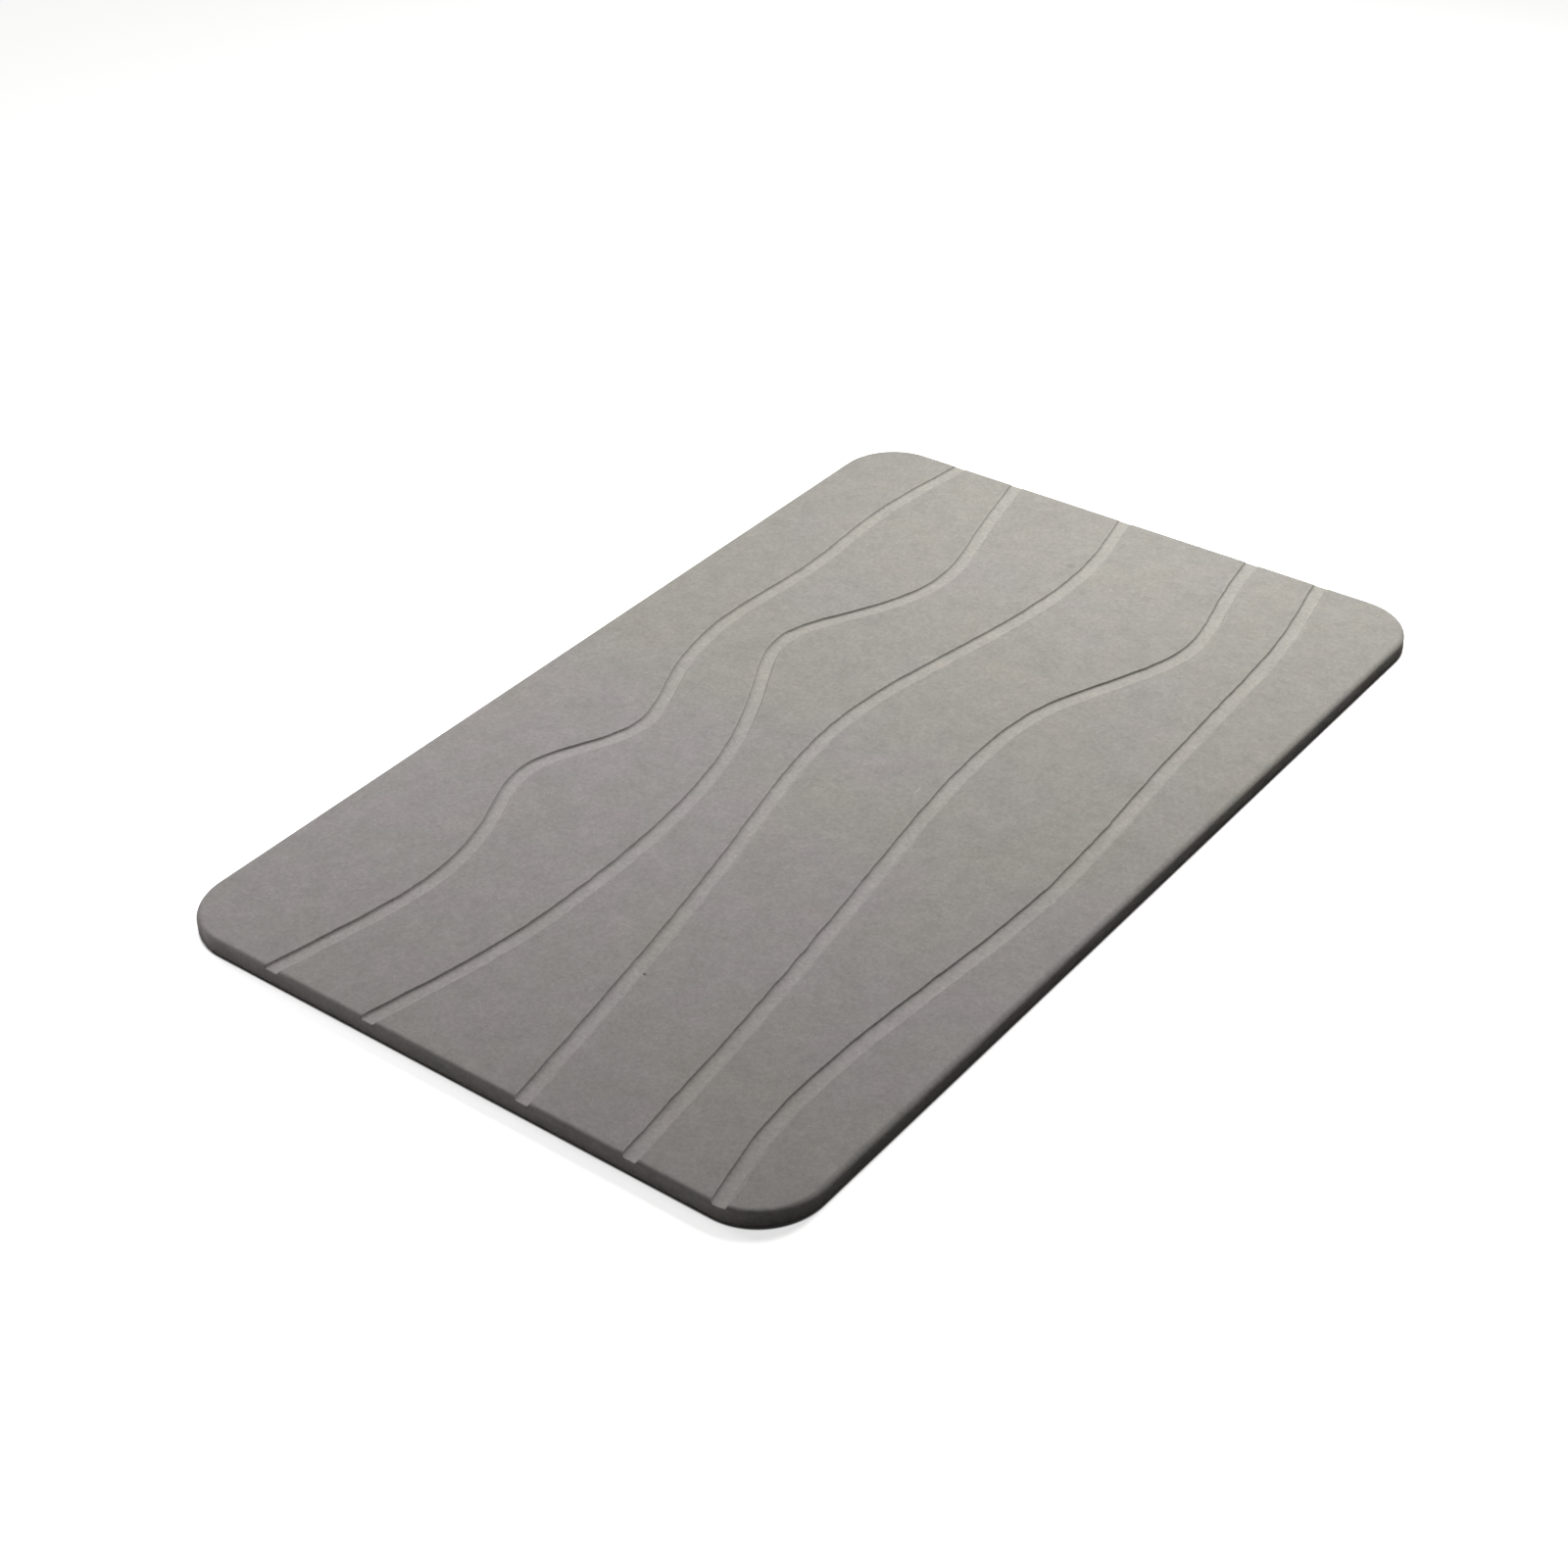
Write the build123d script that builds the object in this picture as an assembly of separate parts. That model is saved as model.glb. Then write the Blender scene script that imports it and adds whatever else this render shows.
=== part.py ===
"""Stone bath mat: a pressed mineral slab on a loose non-slip underlay.

The slab is a thin rounded rectangle with a softly rounded top edge. Five wavy drain grooves
run over its top face from one short end to the other and are open at both ends. The underlay
is a little smaller than the slab and lies flat beneath it. Nothing moves on this object.

Millimetres. X runs across the mat, Y along it and Z up. The origin is the middle of the
outline, on the floor.
"""

import os

from build123d import *

# Slab
LENGTH = 600.0
WIDTH = 380.0
SLAB_THICKNESS = 9.0
CORNER_RADIUS = 35.0
TOP_EDGE_RADIUS = 3.0
BOTTOM_EDGE_RADIUS = 1.0

# Underlay, which stops short of the slab's edge all round
UNDERLAY_THICKNESS = 1.0
UNDERLAY_INSET = 8.0

# Drain grooves: flat floor, upright walls
GROOVE_WIDTH = 9.0
GROOVE_DEPTH = 1.5
GROOVE_OVERRUN = 12.0  # straight run of the cutter beyond each short end

# Centre line of each groove, as the points (X, Y) where it turns or crosses over
GROOVE_LINES = {
    "outer_left": [
        (-116.5, -300),
        (-106, -245),
        (-101.5, -202),
        (-115, -142),
        (-128, -102),
        (-117, -70),
        (-105.5, -37),
        (-120.5, 12),
        (-134.5, 73),
        (-130.5, 147),
        (-134, 227),
        (-127, 300),
    ],
    "inner_left": [
        (-52, -300),
        (-38, -230),
        (-33.5, -158),
        (-39, -80),
        (-57, -10),
        (-81.5, 40),
        (-95, 78),
        (-76.5, 124),
        (-58.5, 179),
        (-70.5, 240),
        (-85.5, 300),
    ],
    "middle": [
        (45.5, -300),
        (26, -190),
        (2, -80),
        (-18, 30),
        (-5, 130),
        (5, 216),
        (1.5, 260),
        (-8, 300),
    ],
    "inner_right": [
        (109, -300),
        (94, -180),
        (75, -60),
        (61, 57),
        (65, 100),
        (84.5, 150),
        (98, 201),
        (88.5, 250),
        (78.5, 300),
    ],
    "outer_right": [
        (159, -300),
        (148.5, -250),
        (146, -203),
        (151, -120),
        (156, -35),
        (148.5, 75),
        (141.5, 180),
        (135, 245),
        (123.5, 300),
    ],
}

UNDERSIDE = UNDERLAY_THICKNESS
TOP_FACE = UNDERLAY_THICKNESS + SLAB_THICKNESS
GROOVE_FLOOR = TOP_FACE - GROOVE_DEPTH
CUTTER_HEIGHT = GROOVE_DEPTH + 1.0


def rounded_plate(width, length, radius, bottom, height):
    """A flat plate with rounded corners, standing on the height called bottom."""
    outline = Pos(0, 0, bottom) * RectangleRounded(width, length, radius)
    return extrude(outline, amount=height)


def groove_cutter(points):
    """The solid that cuts one groove along its centre line and out past both short ends."""
    near_heading = Vector(points[1]) - Vector(points[0])
    far_heading = Vector(points[-1]) - Vector(points[-2])
    wave = Spline(*points, tangents=[near_heading, far_heading])
    near_end = Line(wave @ 0 - wave % 0 * GROOVE_OVERRUN, wave @ 0)
    far_end = Line(wave @ 1, wave @ 1 + wave % 1 * GROOVE_OVERRUN)
    footprint = trace(near_end + wave + far_end, line_width=GROOVE_WIDTH)
    return extrude(Pos(0, 0, GROOVE_FLOOR) * footprint, amount=CUTTER_HEIGHT)


def stone_slab():
    """The pressed slab, with its edges rounded and its drain grooves cut."""
    slab = rounded_plate(WIDTH, LENGTH, CORNER_RADIUS, UNDERSIDE, SLAB_THICKNESS)
    top_edges = slab.faces().sort_by(Axis.Z)[-1].edges()
    slab = fillet(top_edges, TOP_EDGE_RADIUS)
    bottom_edges = slab.faces().sort_by(Axis.Z)[0].edges()
    slab = fillet(bottom_edges, BOTTOM_EDGE_RADIUS)
    for points in GROOVE_LINES.values():
        slab -= groove_cutter(points)
    return slab


def non_slip_underlay():
    """The underlay as a plain closed sheet of its full thickness."""
    return rounded_plate(
        WIDTH - 2 * UNDERLAY_INSET,
        LENGTH - 2 * UNDERLAY_INSET,
        CORNER_RADIUS - UNDERLAY_INSET,
        0,
        UNDERLAY_THICKNESS,
    )


PARTS = {
    "stone_slab": stone_slab,
    "non_slip_underlay": non_slip_underlay,
}

os.makedirs("parts", exist_ok=True)
for name, build in PARTS.items():
    export_step(build(), os.path.join("parts", f"{name}.step"))
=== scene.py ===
"""Looks of the stone bath mat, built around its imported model.

Metres, in the model's own frame: X across the mat, Y along it, Z up, the floor at Z = 0.
"""

import math

import bpy
import numpy as np
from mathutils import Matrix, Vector


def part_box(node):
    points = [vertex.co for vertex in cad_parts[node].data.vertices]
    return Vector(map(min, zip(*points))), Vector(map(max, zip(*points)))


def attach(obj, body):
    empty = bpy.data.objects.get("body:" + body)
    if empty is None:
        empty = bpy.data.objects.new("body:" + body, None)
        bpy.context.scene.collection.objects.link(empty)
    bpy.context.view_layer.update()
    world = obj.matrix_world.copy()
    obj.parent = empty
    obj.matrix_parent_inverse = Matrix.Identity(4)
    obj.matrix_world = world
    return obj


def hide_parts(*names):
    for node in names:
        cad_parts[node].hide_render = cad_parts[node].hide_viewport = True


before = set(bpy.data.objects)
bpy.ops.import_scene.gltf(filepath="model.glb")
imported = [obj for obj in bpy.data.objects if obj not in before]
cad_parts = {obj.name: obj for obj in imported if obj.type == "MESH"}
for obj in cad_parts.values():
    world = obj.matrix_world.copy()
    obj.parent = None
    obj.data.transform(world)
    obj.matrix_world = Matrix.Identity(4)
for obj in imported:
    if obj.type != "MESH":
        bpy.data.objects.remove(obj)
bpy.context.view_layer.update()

MM = 0.001

SLAB_LOW, SLAB_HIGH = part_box("stone_slab")
SHEET_LOW, SHEET_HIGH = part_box("non_slip_underlay")

# Slab outline and edges
HALF_WIDTH = SLAB_HIGH.x
HALF_LENGTH = SLAB_HIGH.y
TOP = SLAB_HIGH.z
UNDERSIDE = SLAB_LOW.z
CORNER_RADIUS = 35 * MM
TOP_ROUND = 3 * MM
BOTTOM_ROUND = 1 * MM
CORE_X = HALF_WIDTH - CORNER_RADIUS
CORE_Y = HALF_LENGTH - CORNER_RADIUS
FLAT_RADIUS = CORNER_RADIUS - TOP_ROUND  # corner radius of the flat top inside its round

# Drain grooves, each as the points (X, Y) of its centre line
GROOVE_LINES = {
    "outer_left": [
        (-0.1165, -0.300), (-0.1060, -0.245), (-0.1015, -0.202), (-0.1150, -0.142), (-0.1280, -0.102),
        (-0.1170, -0.070), (-0.1055, -0.037), (-0.1205, 0.012), (-0.1345, 0.073), (-0.1305, 0.147),
        (-0.1340, 0.227), (-0.1270, 0.300),
    ],
    "inner_left": [
        (-0.0520, -0.300), (-0.0380, -0.230), (-0.0335, -0.158), (-0.0390, -0.080), (-0.0570, -0.010),
        (-0.0815, 0.040), (-0.0950, 0.078), (-0.0765, 0.124), (-0.0585, 0.179), (-0.0705, 0.240),
        (-0.0855, 0.300),
    ],
    "middle": [
        (0.0455, -0.300), (0.0260, -0.190), (0.0020, -0.080), (-0.0180, 0.030), (-0.0050, 0.130),
        (0.0050, 0.216), (0.0015, 0.260), (-0.0080, 0.300),
    ],
    "inner_right": [
        (0.1090, -0.300), (0.0940, -0.180), (0.0750, -0.060), (0.0610, 0.057), (0.0650, 0.100),
        (0.0845, 0.150), (0.0980, 0.201), (0.0885, 0.250), (0.0785, 0.300),
    ],
    "outer_right": [
        (0.1590, -0.300), (0.1485, -0.250), (0.1460, -0.203), (0.1510, -0.120), (0.1560, -0.035),
        (0.1485, 0.075), (0.1415, 0.180), (0.1350, 0.245), (0.1235, 0.300),
    ],
}

# Half of a groove's section, from the land to the middle of its floor, with a hollow foot:
# distance from the centre line, depth below the top face, wear of the arris with a painted highlight,
# paleness of the stone with painted shade where it is negative
GROOVE_SECTION = [
    (5.40 * MM, 0.00 * MM, 0.0, 0.0),
    (4.80 * MM, 0.00 * MM, 0.3, 0.0),
    # At the arris: wear, partly a painted highlight
    (4.50 * MM, 0.07 * MM, 1.0, 0.0),
    (4.34 * MM, 0.22 * MM, 0.4, 0.0),
    # Negative paleness: painted shade that darkens the foot of the groove's wall
    (4.22 * MM, 0.52 * MM, 0.0, -0.5),
    (4.06 * MM, 0.92 * MM, 0.0, -0.7),
    (3.80 * MM, 1.20 * MM, 0.0, -0.3),
    (3.40 * MM, 1.38 * MM, 0.0, 0.4),
    (2.85 * MM, 1.47 * MM, 0.0, 1.0),
    (2.30 * MM, 1.50 * MM, 0.0, 1.0),
    (0.00 * MM, 1.50 * MM, 0.0, 1.0),
]
FLOOR_HALF_WIDTH = 3 * MM  # the part of a groove's floor that no edge reaches
STRAY = 0.15 * MM  # how far a groove's edges stray from their true lines
STRAY_LENGTH = 6 * MM
STRAY_SEED = 5

# Fineness of the slab's mesh
ROW_STEP = 2.5 * MM
COLUMN_STEP = 3.0 * MM
ROUND_STEPS = 6
WALL_STEPS = 3
END_TRIES = 8  # enough for a groove's end to settle on the rounded short end
END_FADE = 4  # power by which the short ends' evenly spaced points fade into the rows further in


# ---------------------------------------------------------------- slab outline


def end_reach(x, radius):
    """How far from the middle of the mat its short end lies at x, for that corner radius."""
    into_corner = np.clip(np.abs(x) - CORE_X, 0, radius)
    return CORE_Y + np.sqrt(radius**2 - into_corner**2)


def walk_from_x(x, radius):
    """Distance walked along a short end from its middle to x, counting the corner's arc."""
    into_corner = np.clip((np.abs(x) - CORE_X) / radius, 0, 1)
    return np.sign(x) * (np.minimum(np.abs(x), CORE_X) + radius * np.arcsin(into_corner))


def x_from_walk(walk, radius):
    """The x that a walk of this length along a short end arrives at."""
    turn = np.clip(np.abs(walk) - CORE_X, 0, None) / radius
    return np.sign(walk) * (np.minimum(np.abs(walk), CORE_X) + radius * np.sin(turn))


def side_line(side, share, radius):
    """Points along a long side, from the middle of one corner's arc to the middle of the other's."""
    arc = FLAT_RADIUS * math.pi / 4
    straight = 2 * CORE_Y
    walk = share * (2 * arc + straight)
    near_turn = np.clip(1 - walk / arc, 0, 1) * math.pi / 4
    far_turn = np.clip((walk - arc - straight) / arc, 0, 1) * math.pi / 4
    y = np.clip(walk - arc, 0, straight) - CORE_Y + radius * (np.sin(far_turn) - np.sin(near_turn))
    return side * (CORE_X + radius * np.cos(near_turn + far_turn)), y


# ---------------------------------------------------------------- grooves


class Groove:
    """A groove's centre line, as x for any y: a smooth curve that leaves along its end chords.

    Each of its two edges strays a little from its true line, as a cutter's edge does in stone."""

    def __init__(self, points, random):
        self.x, self.y = np.array(points).T
        self.stray_y = np.arange(-HALF_LENGTH, HALF_LENGTH + STRAY_LENGTH, STRAY_LENGTH)
        self.stray = random.normal(0, STRAY, (2, len(self.stray_y)))
        step = np.diff(self.y)
        chord = np.diff(self.x) / step
        system = np.eye(len(self.y))
        right = np.concatenate([chord[:1], np.zeros(len(self.y) - 2), chord[-1:]])
        for i in range(1, len(self.y) - 1):
            before, after = 1 / step[i - 1], 1 / step[i]
            system[i, i - 1 : i + 2] = before, 2 * (before + after), after
            right[i] = 3 * (chord[i - 1] * before + chord[i] * after)
        self.slope = np.linalg.solve(system, right)

    def at(self, y):
        """The centre line's x and its slope at y."""
        i = np.clip(np.searchsorted(self.y, y) - 1, 0, len(self.y) - 2)
        step = self.y[i + 1] - self.y[i]
        t = (y - self.y[i]) / step
        rise = self.x[i + 1] - self.x[i]
        bend_in = self.slope[i] * step - rise
        bend_out = rise - self.slope[i + 1] * step
        swell = (1 - t) * bend_in + t * bend_out
        x = self.x[i] + t * rise + t * (1 - t) * swell
        slope = rise + (1 - 2 * t) * swell + t * (1 - t) * (bend_out - bend_in)
        return x, slope / step

    def edge(self, y, offset):
        """x of the line that keeps this distance from the centre line."""
        x, slope = self.at(y)
        if abs(offset) > FLOOR_HALF_WIDTH:
            offset = offset + np.interp(y, self.stray_y, self.stray[int(offset > 0)])
        return x + offset * np.sqrt(1 + slope**2)

    def end(self, offset, direction, radius):
        """The point where that line meets a short end: direction is -1 for the near one."""
        y = direction * HALF_LENGTH
        for _ in range(END_TRIES):
            x = self.edge(y, offset)
            y = direction * end_reach(x, radius)
        return float(x), float(y)


def section_columns():
    """The whole section of a groove, from its left land to its right."""
    left = [(-offset, *rest) for offset, *rest in GROOVE_SECTION]
    return left + [(-offset, *rest) for offset, *rest in reversed(left[:-1])]


# ---------------------------------------------------------------- slab mesh


class SlabGrid:
    """The slab's top as rails that run along the mat, with land between them.

    A rail is a long side or one line of a groove's section. The land between two rails is
    divided evenly, and its rows follow the rounded short ends."""

    def __init__(self):
        random = np.random.default_rng(STRAY_SEED)
        self.grooves = [Groove(points, random) for points in GROOVE_LINES.values()]
        self.share = np.linspace(0, 1, round(2 * HALF_LENGTH / ROW_STEP) + 1)
        self.rails = [("side", -1, None)]
        for groove in self.grooves:
            self.rails += [("groove", groove, column) for column in section_columns()]
        self.rails.append(("side", 1, None))
        self.lands = self.land_counts()

    def land_counts(self):
        """How many strips each gap between neighbouring rails is divided into."""
        middle = [float(self.rail_points(rail)[0].mean()) for rail in self.rails]
        counts = []
        for i, (a, b) in enumerate(zip(middle[:-1], middle[1:])):
            same_groove = self.rails[i][1] is self.rails[i + 1][1]
            counts.append(1 if same_groove else max(1, round((b - a) / COLUMN_STEP)))
        return counts

    def rail_end(self, rail, direction, radius):
        """Where a rail meets a short end: direction is -1 for the near one."""
        kind, owner, column = rail
        if kind == "groove":
            return owner.end(column[0], direction, radius)
        x = owner * (CORE_X + radius * math.sin(math.pi / 4))
        return x, direction * float(end_reach(x, radius))

    def rail_points(self, rail):
        """x and y of a rail's points, from the near end to the far one."""
        kind, owner, column = rail
        if kind == "side":
            return side_line(owner, self.share, FLAT_RADIUS)
        near = owner.end(column[0], -1, FLAT_RADIUS)[1]
        far = owner.end(column[0], 1, FLAT_RADIUS)[1]
        y = near + (far - near) * self.share
        return owner.edge(y, column[0]), y

    def end_line(self, direction, radius):
        """All the columns' points on a short end, for that corner radius."""
        points = []
        for i, count in enumerate(self.lands):
            left = self.rail_end(self.rails[i], direction, radius)
            right = self.rail_end(self.rails[i + 1], direction, radius)
            walk = np.linspace(walk_from_x(left[0], radius), walk_from_x(right[0], radius), count + 1)
            x = x_from_walk(walk[:-1], radius)
            points += list(zip(x, direction * end_reach(x, radius)))
        points.append(self.rail_end(self.rails[-1], direction, radius))
        return np.array(points)

    def top(self):
        """x and y of every row and column of the flat top."""
        rail_lines = [np.stack(self.rail_points(rail), axis=1) for rail in self.rails]
        columns = []
        for i, count in enumerate(self.lands):
            for part in np.arange(count) / count:
                columns.append((1 - part) * rail_lines[i] + part * rail_lines[i + 1])
        columns.append(rail_lines[-1])
        grid = np.stack(columns, axis=1)
        near = self.end_line(-1, FLAT_RADIUS) - grid[0]
        far = self.end_line(1, FLAT_RADIUS) - grid[-1]
        fade = self.share[:, None, None]
        return grid + (1 - fade) ** END_FADE * near + fade**END_FADE * far

    def column_facts(self):
        """Depth, arris wear with its painted highlight, and paleness with its painted foot shade, of
        every column.
        """
        facts = []
        for i, count in enumerate(self.lands):
            own = self.rails[i][2][1:] if self.rails[i][2] else (0.0, 0.0, 0.0)
            facts += [own] + [(0.0, 0.0, 0.0)] * (count - 1)
        facts.append((0.0, 0.0, 0.0))
        return np.array(facts)

    def loop(self, radius):
        """The slab's outline at that corner radius, anticlockwise from the near left corner."""
        near = self.end_line(-1, radius)
        far = self.end_line(1, radius)[::-1]
        right = np.stack(side_line(1, self.share, radius), axis=1)[1:-1]
        left = np.stack(side_line(-1, self.share, radius), axis=1)[1:-1][::-1]
        return np.concatenate([near, right, far, left])

    def loop_facts(self):
        """Depth, arris wear with its painted highlight, and paleness with its painted foot shade, of
        every point of the outline.
        """
        facts = self.column_facts()
        plain = np.zeros((len(self.share) - 2, 3))
        return np.concatenate([facts, plain, facts[::-1], plain])


def edge_profile():
    """The slab's edge from the flat top round and down to the flat underside, as (radius, z)."""
    profile = []
    for i in range(1, ROUND_STEPS + 1):
        turn = math.pi / 2 * i / ROUND_STEPS
        radius = FLAT_RADIUS + TOP_ROUND * math.sin(turn)
        profile.append((radius, TOP - TOP_ROUND * (1 - math.cos(turn))))
    wall_top = TOP - TOP_ROUND
    wall_bottom = UNDERSIDE + BOTTOM_ROUND
    for i in range(1, WALL_STEPS + 1):
        profile.append((CORNER_RADIUS, wall_top + (wall_bottom - wall_top) * i / WALL_STEPS))
    for i in range(1, WALL_STEPS + 1):
        turn = math.pi / 2 * i / WALL_STEPS
        inset = BOTTOM_ROUND * (1 - math.cos(turn))
        profile.append((CORNER_RADIUS - inset, wall_bottom - BOTTOM_ROUND * math.sin(turn)))
    return profile


def slab_mesh():
    """The slab's mesh, with the wear and painted highlight and the paleness and painted foot shade of
    its points as attributes.
    """
    grid = SlabGrid()
    top = grid.top()
    rows, columns = top.shape[:2]
    facts = np.broadcast_to(grid.column_facts(), (rows, columns, 3))
    points = [np.dstack([top, TOP - facts[:, :, 0]]).reshape(-1, 3)]
    shares = [facts.reshape(-1, 3)]
    index = np.arange(rows * columns).reshape(rows, columns)
    faces = np.stack([index[:-1, :-1], index[:-1, 1:], index[1:, 1:], index[1:, :-1]], axis=-1)
    faces = faces.reshape(-1, 4).tolist()

    loop_facts = grid.loop_facts()
    ring = np.concatenate([index[0], index[1:-1, -1], index[-1, ::-1], index[1:-1, 0][::-1]])
    start = rows * columns
    for radius, z in edge_profile():
        outline = grid.loop(radius)
        height = np.minimum(z, TOP - loop_facts[:, 0])
        points.append(np.column_stack([outline, height]))
        below_groove = (z < TOP - loop_facts[:, 0])[:, None]
        shares.append(np.where(below_groove, 0, loop_facts))
        outer = np.arange(start, start + len(outline))
        quads = [ring, outer, np.roll(outer, -1), np.roll(ring, -1)]
        faces += np.stack(quads, axis=1).tolist()
        ring = outer
        start += len(outline)
    faces.append(ring[::-1].tolist())

    mesh = bpy.data.meshes.new("stone_slab_visual")
    mesh.from_pydata(np.concatenate(points).tolist(), [], faces)
    mesh.polygons.foreach_set("use_smooth", [True] * len(mesh.polygons))
    for name, values in zip(("wear_and_painted_highlight", "paleness_and_painted_foot_shade"), np.concatenate(shares)[:, 1:].T):
        attribute = mesh.attributes.new(name, "FLOAT", "POINT")
        attribute.data.foreach_set("value", values.astype(np.float32))
    mesh.update()
    return mesh


def add_piece(name, mesh, node, material):
    """Puts a mesh in the scene in the place of a CAD node."""
    piece = bpy.data.objects.new(name, mesh)
    bpy.context.scene.collection.objects.link(piece)
    mesh.materials.append(material)
    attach(piece, "root")
    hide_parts(node)
    return piece


def keep_flats_flat(piece):
    """Gives wide flat faces the say in shading, so that a narrow round beside one stays narrow."""
    piece.modifiers.new("weighted_normals", "WEIGHTED_NORMAL")


# ---------------------------------------------------------------- underlay mesh

STRAND = 4 * MM  # width of a coated strand
CELLS_ACROSS = 40
CELLS_ALONG = 64
HOLE_ROUNDNESS = 0.82  # how far out a hole's corners lie, where 1 leaves it square

# The eight points round a cell, anticlockwise, in half cells from its middle
AROUND = [(-1, -1), (0, -1), (1, -1), (1, 0), (1, 1), (0, 1), (-1, 1), (-1, 0)]

# Half of a strand's section, from its middle line on top round to its middle line below:
# share of the way out, share of the height
STRAND_SECTION = [(0.0, 1.0), (0.6, 0.9), (1.0, 0.5), (0.6, 0.1), (0.0, 0.0)]


class Net:
    """One closed net of coated strands that fills the underlay's outline, corner rounds included.

    Places are counted in half cells, so that neighbouring cells share the points between them."""

    def __init__(self):
        self.half = (SHEET_HIGH.x - STRAND / 2, SHEET_HIGH.y - STRAND / 2)
        self.cells = (CELLS_ACROSS, CELLS_ALONG)
        self.pitch = [2 * half / cells for half, cells in zip(self.half, self.cells)]
        self.corner = CORNER_RADIUS - (HALF_WIDTH - SHEET_HIGH.x) - STRAND / 2
        self.points = []
        self.faces = []
        self.shared = {}

    def from_corner(self, x, y):
        """How far x and y lie beyond the middle of the nearest corner's arc, with their signs."""
        beyond = [max(abs(v) - (half - self.corner), 0) for v, half in zip((x, y), self.half)]
        return math.copysign(beyond[0], x), math.copysign(beyond[1], y)

    def has(self, i, j):
        """Whether the net has the cell in column i and row j."""
        if not (0 <= i < self.cells[0] and 0 <= j < self.cells[1]):
            return False
        x = (i + 0.5) * self.pitch[0] - self.half[0]
        y = (j + 0.5) * self.pitch[1] - self.half[1]
        return math.hypot(*self.from_corner(x, y)) <= self.corner

    def crossing(self, i, j):
        """Where two strands cross: the outermost crossings of a corner lie on its arc."""
        x = i * self.pitch[0] - self.half[0]
        y = j * self.pitch[1] - self.half[1]
        dx, dy = self.from_corner(x, y)
        around = [self.has(i - a, j - b) for a in (0, 1) for b in (0, 1)]
        if dx and dy and any(around) and not all(around):
            stretch = self.corner / math.hypot(dx, dy) - 1
            x += dx * stretch
            y += dy * stretch
        return np.array([x, y])

    def place(self, a, b):
        """The point a half cells across and b half cells along."""
        ends = [(i, j) for i in {a // 2, (a + 1) // 2} for j in {b // 2, (b + 1) // 2}]
        return sum(self.crossing(i, j) for i, j in ends) / len(ends)

    def outward(self, xy):
        """Direction out of the net at a point of its outline."""
        direction = np.array(self.from_corner(*xy))
        return direction / np.linalg.norm(direction)

    def point(self, key, xy, share):
        """The index of the point with this key, made at xy if it is new."""
        if key not in self.shared:
            self.shared[key] = len(self.points)
            z = SHEET_LOW.z + (SHEET_HIGH.z - SHEET_LOW.z) * share
            self.points.append((float(xy[0]), float(xy[1]), z))
        return self.shared[key]

    def add_cell(self, i, j):
        """The inner halves of the four strands round one hole."""
        middle = self.place(2 * i + 1, 2 * j + 1)
        hole = 1 - STRAND / self.pitch[0]
        rings = []
        for level, (inward, share) in enumerate(STRAND_SECTION):
            ring = []
            for k, (da, db) in enumerate(AROUND):
                a, b = 2 * i + 1 + da, 2 * j + 1 + db
                roundness = HOLE_ROUNDNESS if da and db else 1.0
                scale = 1 + (hole * roundness - 1) * inward
                key = (level, a, b) if inward == 0 else (level, i, j, k)
                ring.append(self.point(key, middle + (self.place(a, b) - middle) * scale, share))
            rings.append(ring)
        for outer, inner in zip(rings[:-1], rings[1:]):
            for k in range(8):
                n = (k + 1) % 8
                self.faces.append((outer[k], outer[n], inner[n], inner[k]))

    def add_border(self, i, j):
        """The outer halves of a cell's strands on the sides where the net ends."""
        for k in range(8):
            n = (k + 1) % 8
            side = [a + b for a, b in zip(AROUND[k], AROUND[n])]
            across, along = (int(v / 2) for v in side)
            if self.has(i + across, j + along):
                continue
            strips = []
            for end in (n, k):
                a, b = 2 * i + 1 + AROUND[end][0], 2 * j + 1 + AROUND[end][1]
                xy = self.place(a, b)
                out = self.outward(xy) * STRAND / 2
                strip = []
                for level, (outward, share) in enumerate(STRAND_SECTION):
                    key = (level, a, b) if outward == 0 else (level, a, b, "border")
                    strip.append(self.point(key, xy + out * outward, share))
                strips.append(strip)
            for m in range(len(STRAND_SECTION) - 1):
                first, second = strips
                self.faces.append((first[m], second[m], second[m + 1], first[m + 1]))

    def mesh(self):
        for i in range(self.cells[0]):
            for j in range(self.cells[1]):
                if self.has(i, j):
                    self.add_cell(i, j)
                    self.add_border(i, j)
        mesh = bpy.data.meshes.new("non_slip_underlay_visual")
        mesh.from_pydata(self.points, [], self.faces)
        mesh.polygons.foreach_set("use_smooth", [True] * len(mesh.polygons))
        mesh.update()
        return mesh


# ---------------------------------------------------------------- materials

# Colours of the stone and of the coated strands
VIOLET_GREY = (0.294, 0.273, 0.277, 1)
YELLOW_GREY = (0.290, 0.279, 0.255, 1)
GREEN_GREY = (0.268, 0.267, 0.253, 1)
DARK_COATING = (0.60, 0.58, 0.53, 1)
PALE_COATING = (0.66, 0.64, 0.60, 1)

# Noises of the stone, from its broad clouds to its pores, and of the coating:
# patch size, detail, roughness, shift
CLOUD = (90 * MM, 2, 0.6, 0.0)
TINT = (30 * MM, 4, 0.75, 3.1)
MOTTLE = (16 * MM, 4, 0.9, 7.7)
SPECKLE = (2.2 * MM, 2, 0.8, 1.3)
GRAIN = (0.9 * MM, 3, 0.65, 0.0)
PORES = (0.35 * MM, 1, 0.5, 0.0)
COATING_SHADE = (25 * MM, 2, 0.5, 0.0)
BUBBLES = (0.8 * MM, 2, 0.6, 0.0)

YELLOWING_STARTS = -70 * MM  # along Y, where the stone turns from violet to yellowish grey
YELLOWING_ENDS = 60 * MM
YELLOWING = 0.45  # how far that turn shifts the clouds' mix of the two greys, either way
MILLED_PALER_AND_FOOT_SHADE = 0.18  # how much paler than the pressed face a groove's milled floor is, and how much darker its painted foot shade
WORN_PALER_AND_HIGHLIGHT = 0.22  # how much paler than the pressed face a worn arris is, painted highlight included
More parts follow.
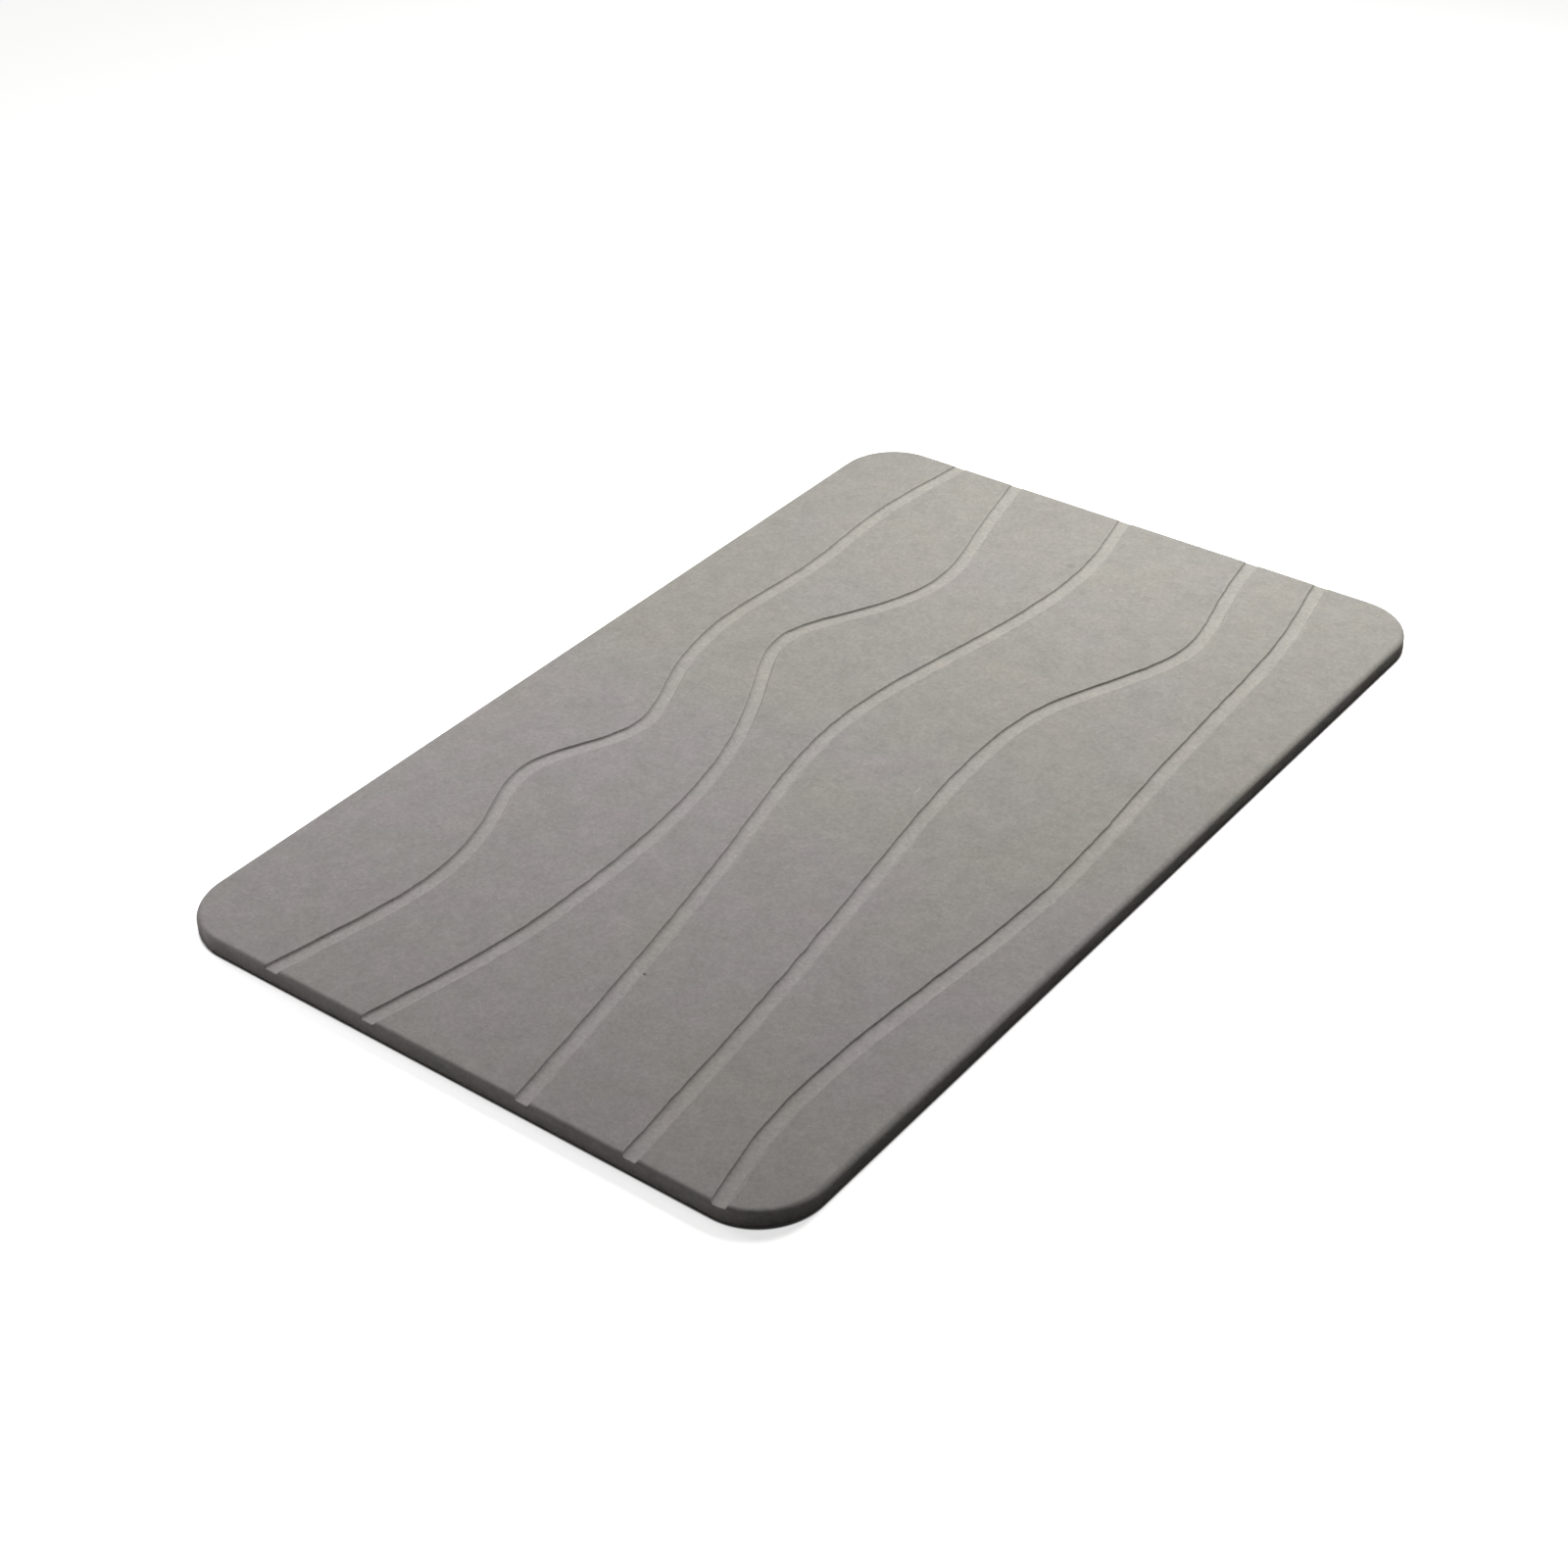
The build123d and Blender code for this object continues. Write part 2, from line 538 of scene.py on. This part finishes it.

# Small marks of use on the top face: x, y, half width, half length, shade against the stone
MARKS = [
    (33.0 * MM, -198 * MM, 1.4 * MM, 0.9 * MM, 0.35),
    (52.0 * MM, -1 * MM, 0.8 * MM, 4.0 * MM, 1.25),
    (-6.0 * MM, 236 * MM, 3.5 * MM, 3.0 * MM, 0.84),
]
MARK_CORE = 0.4  # share of a mark's size that has its full shade


class Surface:
    """A material's node tree, with short ways to add and join its nodes."""

    def __init__(self, name):
        self.material = bpy.data.materials.new(name)
        self.material.use_nodes = True
        self.tree = self.material.node_tree
        self.tree.nodes.clear()
        self.shader = self.add("ShaderNodeBsdfPrincipled")
        output = self.add("ShaderNodeOutputMaterial")
        self.tree.links.new(self.shader.outputs[0], output.inputs["Surface"])

    def add(self, kind, inputs=None, **settings):
        node = self.tree.nodes.new(kind)
        for name, value in settings.items():
            setattr(node, name, value)
        for key, value in (inputs or {}).items():
            self.put(node, key, value)
        return node

    def put(self, node, key, value):
        """Sets one input of a node, to a constant or to another node's output."""
        if isinstance(value, bpy.types.NodeSocket):
            self.tree.links.new(value, node.inputs[key])
        else:
            node.inputs[key].default_value = value

    def finish(self, **inputs):
        for key, value in inputs.items():
            self.put(self.shader, key.replace("_", " "), value)
        return self.material

    def place(self):
        return self.add("ShaderNodeTexCoord").outputs["Object"]

    def noise(self, place, size, detail, roughness, shift):
        """Soft noise from 0 to 1 whose patches are about this size, in metres."""
        where = self.add("ShaderNodeVectorMath", {0: place, 1: (shift, shift, shift)}).outputs[0]
        settings = {"Vector": where, "Scale": 1 / size, "Detail": detail, "Roughness": roughness}
        return self.add("ShaderNodeTexNoise", settings).outputs["Fac"]

    def maths(self, operation, *values, clamp=False):
        node = self.add("ShaderNodeMath", dict(enumerate(values)), operation=operation)
        node.use_clamp = clamp
        return node.outputs[0]

    def spread(self, value, low, high, to_low, to_high):
        """Maps low..high to to_low..to_high."""
        inputs = {0: value, 1: low, 2: high, 3: to_low, 4: to_high}
        return self.add("ShaderNodeMapRange", inputs).outputs[0]

    def vary(self, factor, noise, low, high, change):
        """Scales factor by 1 - change where the noise is low, up to 1 + change where it is high."""
        return self.maths("MULTIPLY", factor, self.spread(noise, low, high, 1 - change, 1 + change))

    def blend(self, share, first, second):
        """Mixes two colours by share."""
        node = self.add("ShaderNodeMix", data_type="RGBA")
        sockets = [s for s in node.inputs if s.enabled]
        for socket, value in zip(sockets, (share, first, second)):
            if isinstance(value, bpy.types.NodeSocket):
                self.tree.links.new(value, socket)
            else:
                socket.default_value = value
        return next(s for s in node.outputs if s.enabled)

    def scale_colour(self, colour, factor):
        """Multiplies a colour by a number."""
        node = self.add("ShaderNodeVectorMath", {0: colour}, operation="SCALE")
        self.put(node, "Scale", factor)
        return node.outputs[0]

    def mark(self, place, x, y, half_width, half_length):
        """1 on a small oval mark of the top face, and 0 off it."""
        where = self.add("ShaderNodeVectorMath", {0: place, 1: (x, y, TOP)}, operation="SUBTRACT")
        size = (half_width, half_length, half_length)
        scaled = self.add("ShaderNodeVectorMath", {0: where.outputs[0], 1: size}, operation="DIVIDE")
        away = self.add("ShaderNodeVectorMath", {0: scaled.outputs[0]}, operation="LENGTH")
        return self.spread(away.outputs["Value"], MARK_CORE, 1, 1, 0)

    def share(self, name):
        """One of the shares that the slab's mesh holds for its points."""
        return self.add("ShaderNodeAttribute", attribute_name=name).outputs["Fac"]

    def bump(self, height, distance, strength, below=None):
        inputs = {"Height": height, "Distance": distance, "Strength": strength}
        if below is not None:
            inputs["Normal"] = below
        return self.add("ShaderNodeBump", inputs).outputs["Normal"]


def pressed_stone():
    """Pressed mineral slab: matt grey, finely mottled, with violet and yellowish clouds."""
    s = Surface("pressed_stone")
    place = s.place()
    speckle = s.noise(place, *SPECKLE)
    grain = s.noise(place, *GRAIN)

    along = s.add("ShaderNodeSeparateXYZ", {0: place}).outputs["Y"]
    yellow = s.spread(along, YELLOWING_STARTS, YELLOWING_ENDS, -YELLOWING, YELLOWING)
    yellow = s.maths("ADD", yellow, s.spread(s.noise(place, *CLOUD), 0.35, 0.65, 0, 1), clamp=True)
    colour = s.blend(yellow, VIOLET_GREY, YELLOW_GREY)
    green = s.spread(s.noise(place, *TINT), 0.38, 0.62, 0, 0.7)
    colour = s.blend(green, colour, GREEN_GREY)

    factor = s.vary(1, s.noise(place, *MOTTLE), 0.3, 0.7, change=0.08)
    factor = s.vary(factor, speckle, 0.25, 0.75, change=0.13)
    factor = s.vary(factor, grain, 0.25, 0.75, change=0.05)
    # Paler milled floor, and painted shade darkening the foot of each groove's wall
    milled_and_foot_shade = s.maths("MULTIPLY_ADD", s.share("paleness_and_painted_foot_shade"), MILLED_PALER_AND_FOOT_SHADE, 1)
    # Paler arrises: partly real wear, partly a painted highlight along each groove's edge
    worn_and_highlit = s.maths("MULTIPLY_ADD", s.share("wear_and_painted_highlight"), WORN_PALER_AND_HIGHLIGHT, 1)
    factor = s.maths("MULTIPLY", s.maths("MULTIPLY", factor, milled_and_foot_shade), worn_and_highlit)
    for x, y, half_width, half_length, shade in MARKS:
        marked = s.spread(s.mark(place, x, y, half_width, half_length), 0, 1, 1, shade)
        factor = s.maths("MULTIPLY", factor, marked)
    colour = s.scale_colour(colour, factor)

    roughness = s.spread(grain, 0.3, 0.7, 0.86, 0.96)
    pits = s.spread(s.noise(place, *PORES), 0.3, 0.45, 0, 1)
    normal = s.bump(speckle, distance=0.12 * MM, strength=0.5)
    normal = s.bump(grain, distance=0.06 * MM, strength=0.5, below=normal)
    normal = s.bump(pits, distance=0.04 * MM, strength=0.5, below=normal)
    return s.finish(Base_Color=colour, Roughness=roughness, Normal=normal, Specular_IOR_Level=0.3)


def coated_mesh():
    """Knitted mesh dipped in soft foamed plastic: off-white strands with a fine bubbly skin."""
    s = Surface("coated_mesh")
    place = s.place()
    bubbles = s.noise(place, *BUBBLES)
    shade = s.spread(s.noise(place, *COATING_SHADE), 0.3, 0.7, 0, 1)
    colour = s.blend(shade, DARK_COATING, PALE_COATING)
    colour = s.scale_colour(colour, s.spread(bubbles, 0.3, 0.7, 0.94, 1.03))
    roughness = s.spread(bubbles, 0.3, 0.7, 0.5, 0.65)
    normal = s.bump(bubbles, distance=0.15 * MM, strength=0.6)
    return s.finish(Base_Color=colour, Roughness=roughness, Normal=normal)


WHITE_SHADE = 0.87
DARK_SHADE = 0.02

# Glow of the white floor, as (distance from the slab's outline, strength)
GLOW_STEPS = [(-0.3 * MM, 0.0), (0.7 * MM, 0.68), (130 * MM, 0.8)]


def white_sweep():
    """Plain white studio room, with a glow of its own that starts at the slab's outline."""
    s = Surface("white_sweep")
    folded = s.add("ShaderNodeVectorMath", {0: s.place()}, operation="ABSOLUTE").outputs[0]
    core = (CORE_X, CORE_Y, 0)
    beyond = s.add("ShaderNodeVectorMath", {0: folded, 1: core}, operation="SUBTRACT").outputs[0]
    clipped = s.add("ShaderNodeVectorMath", {0: beyond, 1: (0, 0, 0)}, operation="MAXIMUM").outputs[0]
    away = s.add("ShaderNodeVectorMath", {0: clipped}, operation="LENGTH").outputs["Value"]
    glow = 0
    for (low, weak), (high, strong) in zip(GLOW_STEPS[:-1], GLOW_STEPS[1:]):
        rise = s.spread(away, CORNER_RADIUS + low, CORNER_RADIUS + high, 0, strong - weak)
        glow = s.maths("ADD", glow, rise)
    return s.finish(
        Base_Color=(WHITE_SHADE, WHITE_SHADE, WHITE_SHADE, 1),
        Roughness=1.0,
        Specular_IOR_Level=0.0,
        Emission_Color=(1, 1, 1, 1),
        Emission_Strength=glow,
    )


def plain_card(name, shade):
    """Matt card of one grey."""
    return Surface(name).finish(Base_Color=(shade, shade, shade, 1), Roughness=1.0)


# ---------------------------------------------------------------- studio

ROOM_HALF = 4.0  # from the middle of the mat to each wall
ROOM_HEIGHT = 4.0
CARD_WIDTH = 26 * MM  # of the dark card past the slab's right side and its near right corner
CARD_FRONT = 4 * MM  # of the dark card past the rest of the slab's near end
CARD_GAP = 0.1 * MM  # each unseen card lies this far below the one above it
CAMERA_PLACE = (0.71564, -0.93412, 0.82309)
CAMERA_TURN = (54.8126, 1.7758, 37.6069)  # degrees about X, Y and Z
CAMERA_LENS = 62.148
SENSOR_WIDTH = 36.0

# Lamps, as (place, size, power, colour), and the light from all round, as (colour, strength)
KEY_LAMP = ((0.04, 0.60, 0.72), 0.36, 10.4, (1.0, 0.985, 0.96))
FILL_LAMP = ((-0.62, -0.22, 0.37), 0.3, 2.3, (1.0, 0.975, 0.98))
AMBIENT = ((1.0, 0.97, 0.945), 0.085)


def add_stage_piece(name, corners, faces, material):
    """A still piece of the studio, which is no part of the mat."""
    mesh = bpy.data.meshes.new(name)
    mesh.from_pydata(corners, [], faces)
    mesh.materials.append(material)
    piece = bpy.data.objects.new(name, mesh)
    bpy.context.scene.collection.objects.link(piece)
    return piece


def rectangle(x_range, y_range, z):
    """The corners of a level rectangle, anticlockwise from the near left one."""
    (left, right), (near, far) = x_range, y_range
    return [(left, near, z), (right, near, z), (right, far, z), (left, far, z)]


def add_room():
    """The white floor and walls that are seen, and the cards that send light up to the mat's sides.

    The dark card keeps the floor's glare off the slab's long right side and the foot of its near end."""
    whole = (-ROOM_HALF, ROOM_HALF)
    corners = rectangle(whole, whole, 0) + rectangle(whole, whole, ROOM_HEIGHT)
    walls = [(i, i + 4, (i + 1) % 4 + 4, (i + 1) % 4) for i in range(4)]
    room = add_stage_piece("room", corners, [(0, 1, 2, 3)] + walls, white_sweep())
    room.visible_diffuse = False
    room.visible_glossy = False
    room.visible_shadow = False
    white = rectangle(whole, whole, -2 * CARD_GAP)
    card = plain_card("white_card", WHITE_SHADE)
    white_card = add_stage_piece("white_card", white, [(0, 1, 2, 3)], card)
    white_card.visible_camera = False
    front = -HALF_LENGTH - CARD_FRONT
    right = HALF_WIDTH + CARD_WIDTH
    dark = [
        (-HALF_WIDTH, front, -CARD_GAP),
        (CORE_X, front, -CARD_GAP),
        (right, -HALF_LENGTH - CARD_WIDTH, -CARD_GAP),
        (right, HALF_LENGTH, -CARD_GAP),
        (-HALF_WIDTH, HALF_LENGTH, -CARD_GAP),
    ]
    card = plain_card("dark_card", DARK_SHADE)
    dark_card = add_stage_piece("dark_card", dark, [(0, 1, 2, 3, 4)], card)
    dark_card.visible_camera = False
    dark_card.visible_shadow = False


def add_camera():
    data = bpy.data.cameras.new("camera")
    data.lens = CAMERA_LENS
    data.sensor_width = SENSOR_WIDTH
    camera = bpy.data.objects.new("camera", data)
    camera.location = CAMERA_PLACE
    camera.rotation_euler = [math.radians(angle) for angle in CAMERA_TURN]
    bpy.context.scene.collection.objects.link(camera)
    bpy.context.scene.camera = camera


def add_softbox(name, place, size, power, colour):
    """A square soft light at place that faces the middle of the mat."""
    data = bpy.data.lights.new(name, "AREA")
    data.size = size
    data.energy = power
    data.color = colour
    light = bpy.data.objects.new(name, data)
    light.location = place
    light.rotation_euler = (-Vector(place)).to_track_quat("-Z", "Y").to_euler()
    bpy.context.scene.collection.objects.link(light)


def set_ambient(colour, strength):
    world = bpy.data.worlds.new("ambient")
    world.use_nodes = True
    background = world.node_tree.nodes["Background"]
    background.inputs["Color"].default_value = (*colour, 1)
    background.inputs["Strength"].default_value = strength
    bpy.context.scene.world = world


# ---------------------------------------------------------------- the mat

slab = add_piece("stone_slab_visual", slab_mesh(), "stone_slab", pressed_stone())
keep_flats_flat(slab)

underlay = add_piece(
    "non_slip_underlay_visual", Net().mesh(), "non_slip_underlay", coated_mesh()
)

add_room()
add_camera()
add_softbox("key", *KEY_LAMP)
add_softbox("fill", *FILL_LAMP)
set_ambient(*AMBIENT)
bpy.context.scene.view_settings.view_transform = "Standard"
